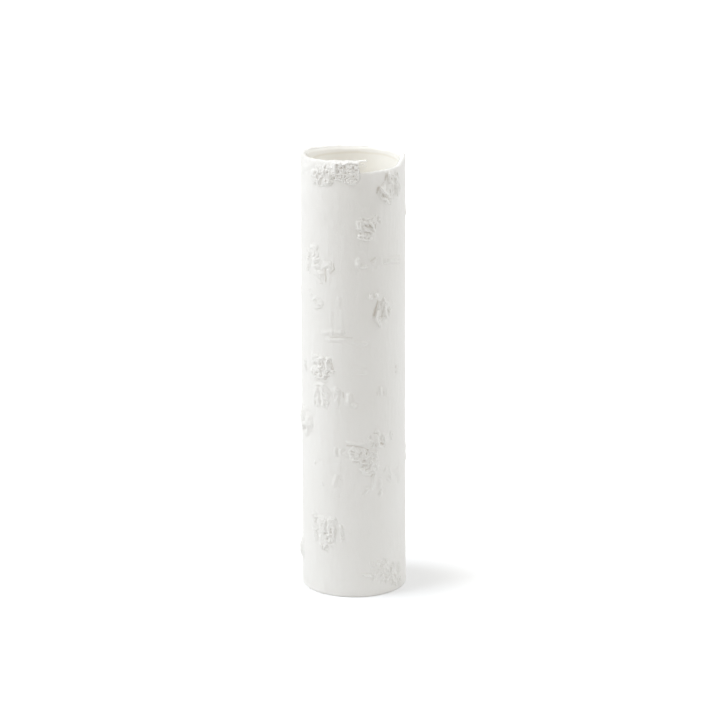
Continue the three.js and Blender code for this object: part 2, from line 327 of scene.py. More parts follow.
radius = inside + outward * (skin(turn, z) - inside)
radius += np.where((outward > 0.5) & (z > FOOT_CHAMFER), marks * outward, 0)
fired(finished(wall, "fired_wall", wrapped(turn, radius, z), bare_clay), "outer_wall")

# The base disc: cut from the same slab, trimmed to stand inside the wall's foot and luted there. Its
# edges are rounded by the sponge. Over it a coil of clay, pressed into the corner, holds the joint.
DISC_SIDES = 144
DISC_SOFTNESS = 0.0006
disc_low, disc_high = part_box("base_disc")
disc = bmesh.new()
bmesh.ops.create_cone(disc, cap_ends=True, segments=DISC_SIDES, radius1=disc_high.x, radius2=disc_high.x,
                      depth=disc_high.z - disc_low.z, matrix=Matrix.Translation((disc_low + disc_high) / 2))
rims = [edge for edge in disc.edges if abs(edge.verts[0].co.z - edge.verts[1].co.z) < DISC_SOFTNESS]
bmesh.ops.bevel(disc, geom=rims, offset=DISC_SOFTNESS, offset_type="OFFSET", segments=3, profile=0.5,
                affect="EDGES", material=-1)
disc_points = np.array([v.co for v in disc.verts])
fired(finished(disc, "fired_base", disc_points, bare_clay), "base_disc")

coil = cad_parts["corner_coil"]
coil.data.materials.clear()
coil.data.materials.append(bare_clay)

# The glaze: poured in and swilled round before firing, so it coats the floor, the coil and the bore up
# to the lip. It is glossy and a little creamy, with the slow ripple of a poured coat. Near the lip its
# colour is lighter, and a soft darker line runs where that lighter band ends.
GLAZE_CREAM = (0.885, 0.87, 0.825, 1)
GLAZE_POOL = (0.865, 0.842, 0.783, 1)
# Near the lip the glaze's colour is lighter, and a darker tone lies along a line below that band.
GLAZE_NEAR_LIP = (0.9, 0.885, 0.845, 1)
GLAZE_LINE_TONE = (0.825, 0.793, 0.72, 1)
GLAZE_LINE = WALL_HEIGHT - 0.0036
GLAZE_LINE_WIDTH = 0.0014
GLAZE_LINE_WANDER = 0.003
GLAZE_ROUGHNESS = 0.1
PEEL_HEIGHT = 0.0002
POOL_SCALE = 30
PEEL_SCALE = 160
GLAZE_DEPTH = 0.0009
GLAZE_BITE = 0.0002
GLAZE_BLUNT = 0.0006
SLIP_FILM = 0.0003
GLAZE_RIPPLE = 0.00012
RIPPLE_WIDTH = 0.009
RIPPLE_RADIUS = 0.03
STILL_RADIUS = 0.01
GLAZE_COLUMNS = 192
TORN_GLAZE_ROWS = 8
GLAZE_ROWS = 80
FLOOR_ROWS = 6
COIL_LEG = 0.006
COIL_STEPS = 8

glaze, glaze_wires, glaze_shader = blank("cream_glaze")
glaze_place = glaze_wires.node("ShaderNodeTexCoord", {}, {}, outlet="Object")
pooled = glaze_place.mottled(POOL_SCALE, 2)
orange_peel = glaze_place.mottled(PEEL_SCALE, 1)
glaze_level = glaze_wires.node("ShaderNodeSeparateXYZ", {}, {"Vector": glaze_place}, outlet="Z")
past_line = glaze_level + pooled * GLAZE_LINE_WANDER - (GLAZE_LINE + GLAZE_LINE_WANDER / 2)
# The lighter band near the lip, and the darker line at its lower end.
lip_band = glaze_wires.node("ShaderNodeMapRange", {}, {"Value": past_line, "From Max": GLAZE_LINE_WIDTH})
from_line = glaze_wires.node("ShaderNodeMath", {"operation": "ABSOLUTE"}, {0: past_line})
line_band = glaze_wires.node("ShaderNodeMapRange", {"interpolation_type": "SMOOTHSTEP"},
                            {"Value": from_line, "From Max": GLAZE_LINE_WIDTH, "To Min": 1, "To Max": 0})
glaze_colour = line_band.mixed(lip_band.mixed(pooled.mixed(GLAZE_CREAM, GLAZE_POOL), GLAZE_NEAR_LIP), GLAZE_LINE_TONE)
glaze_bump = glaze_wires.node("ShaderNodeBump", {}, {"Distance": PEEL_HEIGHT, "Height": orange_peel})
glaze_colour.into(glaze_shader.inputs["Base Color"])
glaze_bump.into(glaze_shader.inputs["Normal"])
glaze_shader.inputs["Roughness"].default_value = GLAZE_ROUGHNESS

floor_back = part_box("glaze_lining")[0].z
floor_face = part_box("corner_coil")[0].z + GLAZE_DEPTH - SLIP_FILM
bend = [
    (bore - GLAZE_DEPTH - COIL_LEG * (1 - math.cos(math.pi * step / COIL_STEPS / 2)),
     floor_face + COIL_LEG * (1 - math.sin(math.pi * step / COIL_STEPS / 2)))
    for step in range(COIL_STEPS + 1)
]
lining_profile = [
    (0, floor_back), (bend[-1][0], floor_back), (bore - GLAZE_BITE, bend[0][1]),
    (bore, WALL_HEIGHT - RIM_BAND), (bore + GLAZE_BITE, WALL_HEIGHT - LIP_ROUND),
    (bore - GLAZE_DEPTH / 2, WALL_HEIGHT - LIP_ROUND - GLAZE_BLUNT),
    (bore - GLAZE_DEPTH, WALL_HEIGHT - RIM_BAND), *bend, (0, floor_face),
]
lining_cuts = [0, 0, 0, TORN_BORE_ROWS, 1, TORN_GLAZE_ROWS, GLAZE_ROWS, *[0] * COIL_STEPS, FLOOR_ROWS, 0]
lining = spun(lining_profile, lining_cuts, GLAZE_COLUMNS)
x, y, z = np.array([v.co for v in lining.verts]).T
straight = np.hypot(x, y)
turn = np.degrees(np.arctan2(x, -y))
torn = np.clip((z - WALL_HEIGHT + RIM_BAND) / (RIM_BAND - LIP_ROUND), 0, 1)
risen = z + torn * (worn_rim(turn) - WALL_HEIGHT)
on_face = (straight < bore - GLAZE_DEPTH / 3) & (z > (floor_back + floor_face) / 2)
swilled = np.radians(turn) * RIPPLE_RADIUS * np.abs(np.sin(np.radians(turn / 2)))
ripple = np.where(on_face, 0.5 + 0.5 * rough(swilled, risen / DRAWN_OUT, RIPPLE_WIDTH, 1), 0)
drawn_in = (straight / bore) * (inner_radius(risen) - bore)
radius = straight + drawn_in - GLAZE_RIPPLE * ripple * (straight > STILL_RADIUS)
fired(finished(lining, "poured_glaze", wrapped(turn, radius, risen), glaze), "glaze_lining")

# The torn slivers: two shreds of the slab that the tear left pointing from the step across the low rim.
# The glaze ran over them. They are thick where they leave the wall and bow a little, one up and one
# down, each to a blunt tip.
SLIVER_SIDES = 10
SLIVER_STEPS = 22
SLIVER_TAPER = 0.35
SLIVER_BLUNT = 0.45
SLIVER_ROOT = 1.6
SLIVER_END = 0.5
SLIVER_RAGGED = 0.00022
SLIVER_BROAD = 1.15
SLIVER_FLAT = 0.6
SLIVER_LEAN = 0.5
FRAY_LONG, FRAY_HIGH, FRAY_BROAD = 0.01, 0.001, 0.0007
FRAY_SIZE = 0.0011


def torn_sliver(node, thick, bow):
    """A shred along its CAD solid. Thick is half its thickness, and it bows down by bow times that."""
    points = points_of(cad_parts[node].data)
    turns = np.degrees(np.arctan2(points[:, 0], -points[:, 1]))
    start, end = turns.min() - SLIVER_ROOT, turns.max()
    root_z = points[turns < start + SLIVER_ROOT + SLIVER_END][:, 2].mean()
    tip_z = points[turns > end - SLIVER_END][:, 2].mean()
    bm = bmesh.new()
    bmesh.ops.create_circle(bm, cap_ends=True, segments=SLIVER_SIDES, radius=1)
    tip = bm.faces[:]
    for _ in range(SLIVER_STEPS):
        grown = bmesh.ops.extrude_face_region(bm, geom=tip)["geom"]
        tip = [part for part in grown if isinstance(part, bmesh.types.BMFace)]
        moved = [part for part in grown if isinstance(part, bmesh.types.BMVert)]
        bmesh.ops.translate(bm, verts=moved, vec=(0, 0, 1))

    around, up, along = np.array([v.co for v in bm.verts]).T
    along = along / SLIVER_STEPS
    size = thick * (1 - SLIVER_TAPER * along ** 2) * np.where(along >= 1, SLIVER_BLUNT, 1)
    frayed = up * FRAY_HIGH + around * FRAY_BROAD
    fray = SLIVER_RAGGED * rough(along * FRAY_LONG, frayed, FRAY_SIZE, 2, seed=3.3)
    middle = np.hypot(points[:, 0], points[:, 1]).mean()
    radius = middle + around * (size * SLIVER_BROAD + fray)
    drop = root_z + (tip_z - root_z) * along ** 2 - bow * thick * np.sin(np.pi * along)
    z = drop + (SLIVER_FLAT * up - SLIVER_LEAN * around) * (size + fray)
    placed = wrapped(start + (end - start) * along, radius, np.minimum(z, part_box(node)[1].z))
    fired(finished(bm, "torn_" + node, placed, glaze), node)


torn_sliver("sliver_rim_upper", 0.00088, -0.2)
torn_sliver("sliver_rim_lower", 0.0008, 0.6)

# What is pressed onto the outside: pats of the same clay, thumbed on while it was damp and then torn,
# pricked and scored so that they look like bark. Each stands on the wall where its CAD solid stands.
# A mark's place is given by the photograph's pixels, seen through the camera that took it.
AXIS_PIXEL = (353.5, 372.5)
PIXELS_PER_METRE = 1335
VIEW_TILT = math.radians(17.25)
VIEW_ROLL = math.radians(0.17)
VIEW_DISTANCE = 3.6
VIEW_MIDDLE = 0.165
FRONT_STEP = 0.00028
BACK_STEP = 0.0004
PAT_MARGIN = 0.0012
SUNK = 0.0003
BACK_SUNK = 0.0008
BORDER = 0.0006
LOWEST = 0.0002
RAGGED_SIZE = 0.004
GRAIN_SIZE = 0.0008
GRAIN_HEIGHT = 0.00005
# How far round a place the painted shade compares heights, and how deep a hollow is at full painted shade.
SHADE_REACH = 0.0012
FULL_SHADE_DEPTH = 0.0014
CUT_FLOOR = 0.00022
LIP_THINNING = 0.55
LIP_DROP = 0.8

# Shares of a pat's relief, then of a crumb's size, then of the height that crumbs give.
CREST = 0.86
BARE = 0.02
CUT_FROM = 0.5
CUT_SHOWS = 0.05
FINE_CRUMB = 0.45
PORE = 0.55
CRACK = 0.3
CRUMB_LEVEL = 0.62
CRUMB_SPREAD = 0.76
CRUMB_DOME = 0.35
CRUMB_MEAN = 0.3
CRACK_DEPTH = 0.7
FINE_SHARE = 0.2
FINE_CRACK_DEPTH = 0.65

# Where the noise for pores starts to open them and how soon they are open. Then how far out a pat's
# edge lies, as a share of its half width, and how much sooner it ends at a cliff.
PORE_FROM = 0.15
PORE_SPAN = 0.3
EDGE_REACH = 1.2
CLIFF_STEEPNESS = 0.75

# The tools, by the half width of the mark that each leaves.
FINE, NARROW, BROAD, WIDE, FINGER, THUMB = 0.0006, 0.00085, 0.0013, 0.002, 0.0032, 0.0048

# How each kind of pat is worked: the size of its crumbs, how much longer than wide they are, how solid
# and how crumbly it is as shares of its relief, how much each crumb tilts, how many pores it has, how
# ragged its edge is, how softly it runs out and how many times a wet sponge went over it.
KINDS = {
    "spongy": (0.0014, 1.1, 0.66, 0.36, 0.4, 0.35, 0.25, 0.4, 1),
    "porous": (0.0015, 1.2, 0.42, 0.44, 0.5, 0.4, 0.3, 0.8, 1),
    "crumbled": (0.0014, 1.3, 0.34, 0.5, 0.5, 0.25, 0.4, 0.9, 1),
    "flaky": (0.0024, 1.2, 0.36, 0.5, 0.8, 0.15, 0.4, 0.8, 3),
    "worn": (0.0016, 0.9, 0.34, 0.44, 0.6, 0.2, 0.4, 1.1, 2),
    "strands": (0.0016, 1.5, 0.32, 0.34, 0.4, 0.15, 0.45, 0.9, 3),
    "leafy": (0.0018, 1.3, 0.36, 0.44, 0.7, 0.15, 0.4, 0.8, 2),
    "smooth": (0.004, 1.3, 0.28, 0.25, 0.5, 0, 0.4, 1.3, 6),
    "scored": (0.0034, 0.5, 0.25, 0.2, 0.4, 0, 0.4, 1.0, 5),
    "swollen": (0.006, 1.4, 1.1, 0.2, 0.4, 0, 0.25, 1.2, 6),
}


def spot(pixel):
    """The distance round the wall and the height of the place that a pixel of the photograph shows."""
    beside = (pixel[0] - AXIS_PIXEL[0]) / PIXELS_PER_METRE
    above = (AXIS_PIXEL[1] - pixel[1]) / PIXELS_PER_METRE
    across, rise = beside + VIEW_ROLL * above, above - VIEW_ROLL * beside
    near = 1
    for _ in range(4):
        turn = math.asin(max(-1, min(1, across * near / FOOT_RADIUS)))
        towards = FOOT_RADIUS * math.cos(turn)
        z = (rise * near + towards * math.sin(VIEW_TILT)) / math.cos(VIEW_TILT)
        near = 1 - (towards * math.cos(VIEW_TILT) + z * math.sin(VIEW_TILT)) / VIEW_DISTANCE
    return turn * FOOT_RADIUS, VIEW_MIDDLE + z


def distance_to(line, across, up):
    """How far each place is from the line through the given pixels."""
    ends = [spot(pixel) for pixel in line]
    nearest = np.full(across.shape, np.inf)
    for (s1, z1), (s2, z2) in zip(ends, ends[1:] or ends):
        run = max((s2 - s1) ** 2 + (z2 - z1) ** 2, 1e-12)
        along = np.clip(((across - s1) * (s2 - s1) + (up - z1) * (z2 - z1)) / run, 0, 1)
        gap = np.hypot(across - s1 - along * (s2 - s1), up - z1 - along * (z2 - z1))
        nearest = np.minimum(nearest, gap)
    return nearest


def scored_by(marks, across, up):
    """The rise of each place, as a share, where each mark is a tool's width, a share and its pixels."""
    rise = np.zeros(across.shape)
    for width, share, *line in marks:
        rise += share * np.exp(-((distance_to(line, across, up) / width) ** 2))
    return rise


def crumbs(across, up, seed, size, stretch, tilt):
    """The heights of broken crumbs, about 0 to 1, and the cracks between them, 0 in a crack."""
    heights, cracks = [], []
    for s, t in zip(across.ravel() / size, up.ravel() / (size * stretch)):
        place = Vector((s, t, seed))
        (first, second, *_), (centre, *_) = noise.voronoi(place)
        spin = noise.cell_vector(centre * 1.01)
        slope = (place - centre).dot(spin - Vector((0.5, 0.5, 0.5)))
        heights.append(CRUMB_LEVEL + CRUMB_SPREAD * (spin.x - 0.5) + tilt * slope - CRUMB_DOME * first)
        cracks.append(min(1, (second - first) / CRACK))
    return np.array(heights).reshape(across.shape), np.array(cracks).reshape(across.shape)


def softened(sheet, rounds):
    """The rows and columns of heights, each mixed with its neighbours as many times."""
    for _ in range(rounds):
        padded = np.pad(sheet, 1, mode="edge")
        sheet = (padded[:-2, 1:-1] + padded[2:, 1:-1] + padded[1:-1, :-2] + padded[1:-1, 2:]) / 4
    return sheet


def pressed(node, kind, dabs=(), marks=(), cliff=None, curl=0.0, step=FRONT_STEP):
    """Models the pat that stands for a node. A dab is a width and the pixels along which that much clay
    was thumbed on; without dabs the pat is the oval of its CAD solid. A cliff is the side, in degrees
    from +X round to up, where the edge is torn steeply, and curl is how far that edge leans over."""
    corners = points_of(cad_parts[node].data)
    facing = math.atan2(corners[:, 0].mean(), -corners[:, 1].mean())
    arcs = (np.arctan2(corners[:, 0], -corners[:, 1]) - facing + math.pi) % (2 * math.pi) - math.pi
    arcs = (arcs + facing) * FOOT_RADIUS
    wall_face = skin(np.degrees(arcs / FOOT_RADIUS), corners[:, 2])
    relief = (np.hypot(corners[:, 0], corners[:, 1]) - wall_face).max()
    left, right, low, high = arcs.min(), arcs.max(), corners[:, 2].min(), corners[:, 2].max()
    middle = (left + right) / 2, (low + high) / 2
    half = (right - left) / 2, (high - low) / 2
    for width, *line in [*dabs, *((width, *line) for width, _, *line in marks)]:
        for s, t in (spot(pixel) for pixel in line):
            left, right = min(left, s - width), max(right, s + width)
            low, high = min(low, t - width), max(high, t + width)
    left, right = left - PAT_MARGIN, right + PAT_MARGIN
    low, high = max(low - PAT_MARGIN, LOWEST), high + PAT_MARGIN

    columns, rows = math.ceil((right - left) / step), math.ceil((high - low) / step)
    across, share = np.meshgrid(np.linspace(left, right, columns + 1), np.linspace(0, 1, rows + 1))
    rim = np.tile(worn_rim(np.degrees(across[0] / FOOT_RADIUS)), (rows + 1, 1))
    up = low + share * (np.minimum(high, rim) - low)
    size, stretch, solid, crumbly, tilt, pores, ragged, soft, sponged = KINDS[kind]
    seed = sum(ord(letter) * rank for rank, letter in enumerate(node, 1)) % 97 * 0.61

    # Where the clay lies, from 1 on the pat to 0 past its ragged edge, and how near the grid's edge is.
    reach = np.hypot((across - middle[0]) / half[0], (up - middle[1]) / half[1])
    if dabs:
        reach = np.min([distance_to(line, across, up) / width for width, *line in dabs], axis=0)
    reach = reach + ragged * rough(across, up, RAGGED_SIZE, 3, seed)
    if cliff is not None:
        side = np.arctan2(up - middle[1], across - middle[0]) - math.radians(cliff)
        soft = soft * (1 - CLIFF_STEEPNESS * np.clip(np.cos(side), 0, 1))
    mask = np.clip((EDGE_REACH - reach) / soft, 0, 1)
    mask = mask * mask * (3 - 2 * mask)
    to_side = np.minimum(across - left, right - across)
    to_end = np.minimum(up - low, np.where(high > rim, np.inf, high - up))
    border = np.clip(np.minimum(to_side, to_end) / BORDER, 0, 1)

    # The clay's height: crumbs with cracks and pores, then the marks, the wet sponge and the grain.
    lumps, cracks = crumbs(across, up, seed, size, stretch, tilt)
    small, small_cracks = crumbs(across, up, seed + 9, size * FINE_CRUMB, stretch, tilt)
    coarse = lumps * (1 - CRACK_DEPTH * (1 - cracks) ** 2)
    fine = small * (1 - FINE_CRACK_DEPTH * (1 - small_cracks))
    bulk = (1 - FINE_SHARE) * coarse + FINE_SHARE * fine
    open_pores = rough(across, up, size * PORE, 1, seed + 5) - PORE_FROM
    holes = np.clip(open_pores / PORE_SPAN, 0, 1) * pores
    height = relief * mask * (solid + crumbly * (bulk - CRUMB_MEAN)) * (1 - holes)
    scored = scored_by(marks, across, up) * border
    height = softened(np.maximum(height + relief * scored, 0), sponged)
    grain = GRAIN_HEIGHT * rough(across, up, GRAIN_SIZE, 3, seed) * mask
    height = np.minimum(height + grain, CREST * relief)

    # What is lower than the clay round it, and each deep cut, gets painted shade: its colour is made darker
    # to stand in for the shade that falls there. A deep cut keeps a thin floor of clay so that its painted
    # shade shows, and bare places sink into the wall.
    hollow_shade = (softened(height, round((SHADE_REACH / step) ** 2 / 2)) - height) / FULL_SHADE_DEPTH
    deep = np.clip(-scored - CUT_FROM, 0, 1)
    cut = deep > CUT_SHOWS
    hollow_shade, height = hollow_shade + deep, np.where(cut, np.maximum(height, CUT_FLOOR), height)
    bare = (height < BARE * relief) & ~cut
    height = np.where(bare, -SUNK, (height + SUNK) * border - SUNK)

    bm = bmesh.new()
    bmesh.ops.create_grid(bm, x_segments=columns, y_segments=rows, size=1)
    grown = bmesh.ops.extrude_face_region(bm, geom=bm.faces[:])["geom"]
    raised = [part for part in grown if isinstance(part, bmesh.types.BMVert)]
    bmesh.ops.translate(bm, verts=raised, vec=(0, 0, 1))
    x, y, layer = np.array([v.co for v in bm.verts]).T
    cell = np.rint((y + 1) / 2 * rows).astype(int), np.rint((x + 1) / 2 * columns).astype(int)
    face = layer > 0.5
    height = np.where(face, height[cell], -BACK_SUNK)
    turn, z = np.degrees(across / FOOT_RADIUS)[cell], up[cell]
    if cliff is not None:
        lean = curl * np.clip(height, 0, None)
        turn = turn + np.degrees(lean * math.cos(math.radians(cliff)) / FOOT_RADIUS)
        z = z + lean * math.sin(math.radians(cliff))

    # Near the rim the pat follows the lip's rounding and thins out.
    rim = worn_rim(turn)
    z = np.clip(z, LOWEST, rim)
    onto_lip = np.clip((LIP_ROUND - (rim - z)) / LIP_ROUND, 0, 1)
    rounding = WALL_THICKNESS / 2 * (1 - np.sqrt(1 - onto_lip ** 2))
    radius = skin(turn, z) - rounding + np.where(face, height * (1 - LIP_THINNING * onto_lip), height)
    z = np.where(face, z, z - LIP_DROP * LIP_ROUND * onto_lip)
    piece = finished(bm, "pressed_" + node, wrapped(turn, radius, z), crust_clay)
    # The painted shade goes onto the pat as a point attribute that its material reads.
    shade_layer = piece.data.attributes.new("hollow_shade", "FLOAT", "POINT")
    shade_layer.data.foreach_set("value", np.clip(hollow_shade, 0, 1)[cell] * face)
    fired(piece, node)


# Under the rim, the crusts are thick and full of pores, as if the edge had been torn through them. The
# one at the front ends at the step, and the two at the right make one broken plate with a steep edge.
pressed("crust_rim_front", "spongy", cliff=0, dabs=[
    (FINGER, (336, 164), (335.5, 175)), (THUMB, (341, 166), (341, 174)), (THUMB, (348, 166), (348, 175)),
    (THUMB, (353.5, 166), (353.5, 174.5)), (WIDE, (347, 181), (353, 182)),
], marks=[
    (FINE, -0.6, (341.5, 167)), (FINE, -0.48, (344.5, 166), (345.5, 168)), (FINE, -0.4, (346, 172.5)),
    (FINE, -0.52, (353, 166), (353.5, 168)), (FINE, -0.4, (339, 171)), (FINE, -0.38, (343, 175.5)),
    (FINE, -0.38, (350, 172)), (FINE, -0.45, (334.3, 176.5), (334.6, 178)), (FINE, -0.35, (337.5, 181)),
    (FINE, -0.33, (350, 164.5)), (FINE, -0.33, (338, 164.5)), (FINE, -0.33, (356.5, 165)),
    (NARROW, 0.3, (336, 163), (336, 170)), (FINE, -0.38, (348, 168)), (FINE, -0.36, (356, 169.5)),
    (FINE, -0.36, (341, 178)), (FINE, -0.38, (353.5, 175.5)), (FINE, -0.3, (347, 178.5)),
    (FINE, -0.36, (338, 175.5)), (NARROW, 0.3, (358.7, 170), (359, 179)),
    (FINE, -0.25, (350, 163.5), (355, 164)), (NARROW, 0.25, (350, 182.5), (357, 181.5)),
])
pressed("crust_rim_left", "porous", dabs=[
    (FINGER, (314, 173), (314, 180)), (THUMB, (320, 171), (320, 180)), (THUMB, (327, 169), (327, 180)),
], marks=[
    (FINE, -0.9, (325.5, 166), (325.5, 168)), (NARROW, -0.9, (321.5, 179), (320.5, 184)),
    (FINE, -0.6, (316, 173)), (NARROW, -0.7, (312, 177), (312.3, 181)), (FINE, -0.6, (320, 173.5)),
    (FINE, -0.5, (323, 177)), (FINE, -0.6, (328, 172)), (FINE, -0.5, (318, 178)),
    (FINE, -0.6, (331, 176), (331.5, 179)), (FINE, -0.5, (326, 181)), (FINE, -0.6, (332, 184), (334, 184)),
    (NARROW, 0.3, (332, 163), (332, 168)), (NARROW, 0.3, (329, 180), (328.5, 183)),
    (FINE, 0.25, (317, 170), (317, 176)), (FINE, 0.25, (324, 170), (324, 175)),
    (WIDE, 0.12, (302, 170), (308, 166), (316, 163)),
])
pressed("crust_rim_right", "leafy", cliff=180, curl=0.3, dabs=[
    (FINGER, (391.5, 175), (392, 179)), (FINGER, (397.5, 174), (398, 182)),
], marks=[
    (BROAD, -1.2, (386.5, 173.5), (386.7, 175)), (BROAD, -1.3, (386, 177.5), (385.6, 179.5)),
    (NARROW, 0.35, (389.5, 172), (389.3, 180)), (NARROW, 0.5, (393.5, 175.5), (396, 176.5)),
    (FINE, -0.4, (391, 178.5), (394, 180)), (FINE, -0.4, (397, 173), (397, 175)),
])
pressed("crust_shoulder_right", "strands", cliff=190, curl=0.3, dabs=[
    (FINGER, (383.5, 189), (385, 195)), (THUMB, (390, 189), (390, 194)), (THUMB, (397, 187), (397, 193)),
    (WIDE, (388, 200), (391, 202)),
], marks=[
    (FINE, -1, (384.5, 182), (383, 183.5)), (NARROW, -1.1, (381.5, 185)),
    (BROAD, -1.5, (378.6, 187.5), (378, 190)), (NARROW, -1.2, (377.2, 192.5)),
    (NARROW, 0.6, (380.5, 186), (383.5, 190), (386.5, 193.5)),
    (NARROW, 0.45, (381, 193), (383.5, 197.5), (386.5, 199)), (NARROW, -0.8, (382.5, 194), (383.5, 196)),
    (FINE, -0.8, (386, 196), (387, 197.5)), (NARROW, -0.9, (389, 199), (390.5, 201.5)),
    (FINE, -0.25, (390, 190), (390.5, 195)), (FINE, -0.2, (394, 185), (394, 190)),
    (FINE, -0.15, (397, 184), (397, 192)), (FINE, 0.25, (393, 184), (393, 192)),
    (FINE, 0.25, (396, 184), (396, 195)), (FINE, 0.25, (399.5, 182), (399.5, 194)),
    (FINE, -0.35, (393, 194.5)), (FINE, -0.25, (396.5, 193), (396.8, 196)),
])

# Knots stand where a branch broke off: small pats pinched up into flakes round a hollow.
pressed("knot_upper_front", "leafy", cliff=250, curl=0.2, dabs=[
    (THUMB, (364, 223), (366, 229)), (THUMB, (371, 222), (371, 229)), (BROAD, (358, 222), (358, 228)),
    (BROAD, (379, 219), (380.5, 222)), (WIDE, (361, 236), (370, 237)),
], marks=[
    (NARROW, 0.5, (370, 221), (372.7, 226), (374.5, 231)),
    (NARROW, 0.4, (364, 226), (368, 229), (373, 232)), (FINE, 0.35, (361.5, 218)),
    (FINE, 0.3, (361, 222), (361, 227)), (FINE, 0.35, (364.5, 221), (367.5, 224)),
    (FINE, 0.3, (366, 219), (370, 218)), (NARROW, 0.2, (373, 217), (376, 215)),
    (WIDE, 0.14, (367, 209), (365, 212), (368, 216)), (FINE, -0.35, (365, 224), (367, 226)),
    (FINE, -1.1, (369.8, 224.8), (370.6, 226.2)), (FINE, -0.6, (372.3, 226.5)),
    (FINE, -1.4, (375.5, 224.5), (375.7, 228)), (NARROW, -0.4, (356, 226), (356, 228)),
    (NARROW, -0.8, (379.5, 221), (380.5, 223)), (FINE, -0.55, (356, 233), (361, 233.5)),
    (NARROW, 0.3, (362, 235), (367, 235.7), (373, 234)), (FINE, -0.3, (365, 231.5), (370, 232)),
    (NARROW, 0.25, (360, 237.5), (366, 239), (371, 238)), (FINE, -0.4, (362, 237)),
    (FINE, -0.45, (363, 219), (364.5, 220)),
])
pressed("knot_small_upper", "smooth", dabs=[(FINGER, (361, 263))], marks=[
    (BROAD, 0.8, (358, 260), (358, 265)), (NARROW, 0.6, (358, 265), (361, 267.5), (366, 266.5)),
    (WIDE, -0.4, (363, 262)), (BROAD, -0.3, (360, 269.5)),
])
pressed("knot_upper_right", "smooth", dabs=[(FINGER, (374, 261), (380, 264))], marks=[
    (BROAD, -1, (371, 260.5), (375.5, 258)), (NARROW, 0.45, (377, 267.5)),
    (NARROW, 0.35, (381, 258), (381.5, 263)), (FINE, -0.5, (377, 260), (376.5, 264)),
])
pressed("welt_upper_right", "scored", dabs=[(WIDE, (385, 261.5), (392, 260), (400, 260))], marks=[
    (NARROW, 0.5, (384, 263), (391, 261)), (NARROW, 0.7, (389, 259), (400, 256.5)),
    (NARROW, 0.45, (392, 261.5), (400, 262.7)), (FINE, -0.4, (393, 260), (400, 259.3)),
])
pressed("knot_middle_right", "worn", cliff=180, curl=0.2, dabs=[
    (FINGER, (381, 304), (379, 319)), (THUMB, (385, 306), (384, 317)), (WIDE, (390, 309), (390, 314)),
    (WIDE, (371, 297)), (WIDE, (377, 295)), (BROAD, (380, 322), (380.5, 326)),
    (BROAD, (384, 299), (386, 303)),
], marks=[
    (NARROW, -1.5, (378, 301), (376.5, 307)), (BROAD, -1.6, (375.7, 309), (374, 315)),
    (NARROW, -0.9, (373, 318)), (NARROW, 0.6, (378, 311), (377, 316)),
    (NARROW, 0.5, (377.5, 318), (380, 323)), (FINE, -0.6, (380.7, 303), (381, 305)),
    (NARROW, -0.55, (382, 311), (381, 316)), (NARROW, 0.5, (384.5, 306), (385, 311), (387, 317)),
    (FINE, -0.25, (387.5, 308.5), (387.7, 312)), (NARROW, 0.5, (376, 294), (377, 297)),
    (NARROW, 0.35, (370, 297)), (NARROW, -0.4, (373.3, 294.5), (373.8, 296.5)),
    (NARROW, 0.3, (383, 302), (388, 302.5)),
])
pressed("knot_middle_left", "worn", cliff=0, curl=0.1, dabs=[
    (THUMB, (314, 358), (321, 361)), (FINGER, (328, 361), (329.5, 369)), (THUMB, (315, 371), (323, 376)),
    (WIDE, (305.5, 361), (306, 368)), (FINGER, (322, 366), (324, 369)),
], marks=[
    (FINE, -0.6, (310, 360), (310.3, 363)), (FINE, -0.6, (312, 365), (314, 363.8), (317, 363.5)),
    (FINE, -0.6, (321, 363), (321, 365)), (FINE, -0.7, (324, 363), (325.5, 369)),
    (NARROW, -1.1, (332, 363.5), (333.3, 369)), (FINE, -0.6, (330, 371), (328.5, 373)),
    (FINE, -0.45, (315, 375), (318, 372.5)), (FINE, -0.6, (314, 380.3), (320, 379.5)),
    (NARROW, -0.9, (325, 379), (327.5, 377)), (FINE, -0.4, (304, 361)),
    (FINE, -0.35, (322, 371), (322, 376)), (FINE, 0.35, (315, 355), (318, 355.5)),
    (NARROW, 0.5, (320.5, 358), (324, 358)), (NARROW, 0.5, (319, 366.7), (321.5, 366.7)),
    (FINE, 0.45, (327, 363), (328.5, 359)), (FINE, 0.35, (315, 372), (317, 374)), (NARROW, 0.3, (325, 376)),
])
pressed("knot_small_right", "smooth", dabs=[(BROAD, (397.5, 364), (397.5, 373))], marks=[
    (NARROW, -1.1, (396, 365.5), (396, 367.5)), (NARROW, -0.9, (396, 371), (396, 372.5)),
    (NARROW, 0.25, (399, 364), (399, 372)),
])
pressed("knot_lower_right", "smooth", dabs=[(WIDE, (380.5, 389), (380.5, 394))], marks=[
    (FINE, -0.9, (377.3, 391.5), (377.5, 395)), (FINE, -0.9, (384, 391), (384.2, 395)),
    (NARROW, 0.3, (380.5, 388), (380.5, 395)), (NARROW, 0.2, (387, 388), (387, 395)),
    (FINE, -0.5, (384, 382), (385, 384)),
])
pressed("knot_lower_front", "smooth", dabs=[
    (WIDE, (336, 449), (336, 454)), (FINGER, (343, 451), (346, 453)),
], marks=[
    (NARROW, 0.25, (335.5, 449), (335.5, 454)), (FINE, -0.6, (337.5, 449), (337.5, 452)),
    (NARROW, 0.25, (340.5, 450), (340.5, 455)), (FINE, -0.7, (342, 452), (345, 450)),
    (NARROW, 0.2, (343, 456), (348, 457)),
])
pressed("knot_small_left", "smooth", dabs=[
    (NARROW, (315, 463), (315, 462)), (NARROW, (319, 459.5)),
], marks=[
    (FINE, 0.2, (319, 459.3)), (FINE, 0.2, (314.5, 463), (315.5, 461.5)),
])
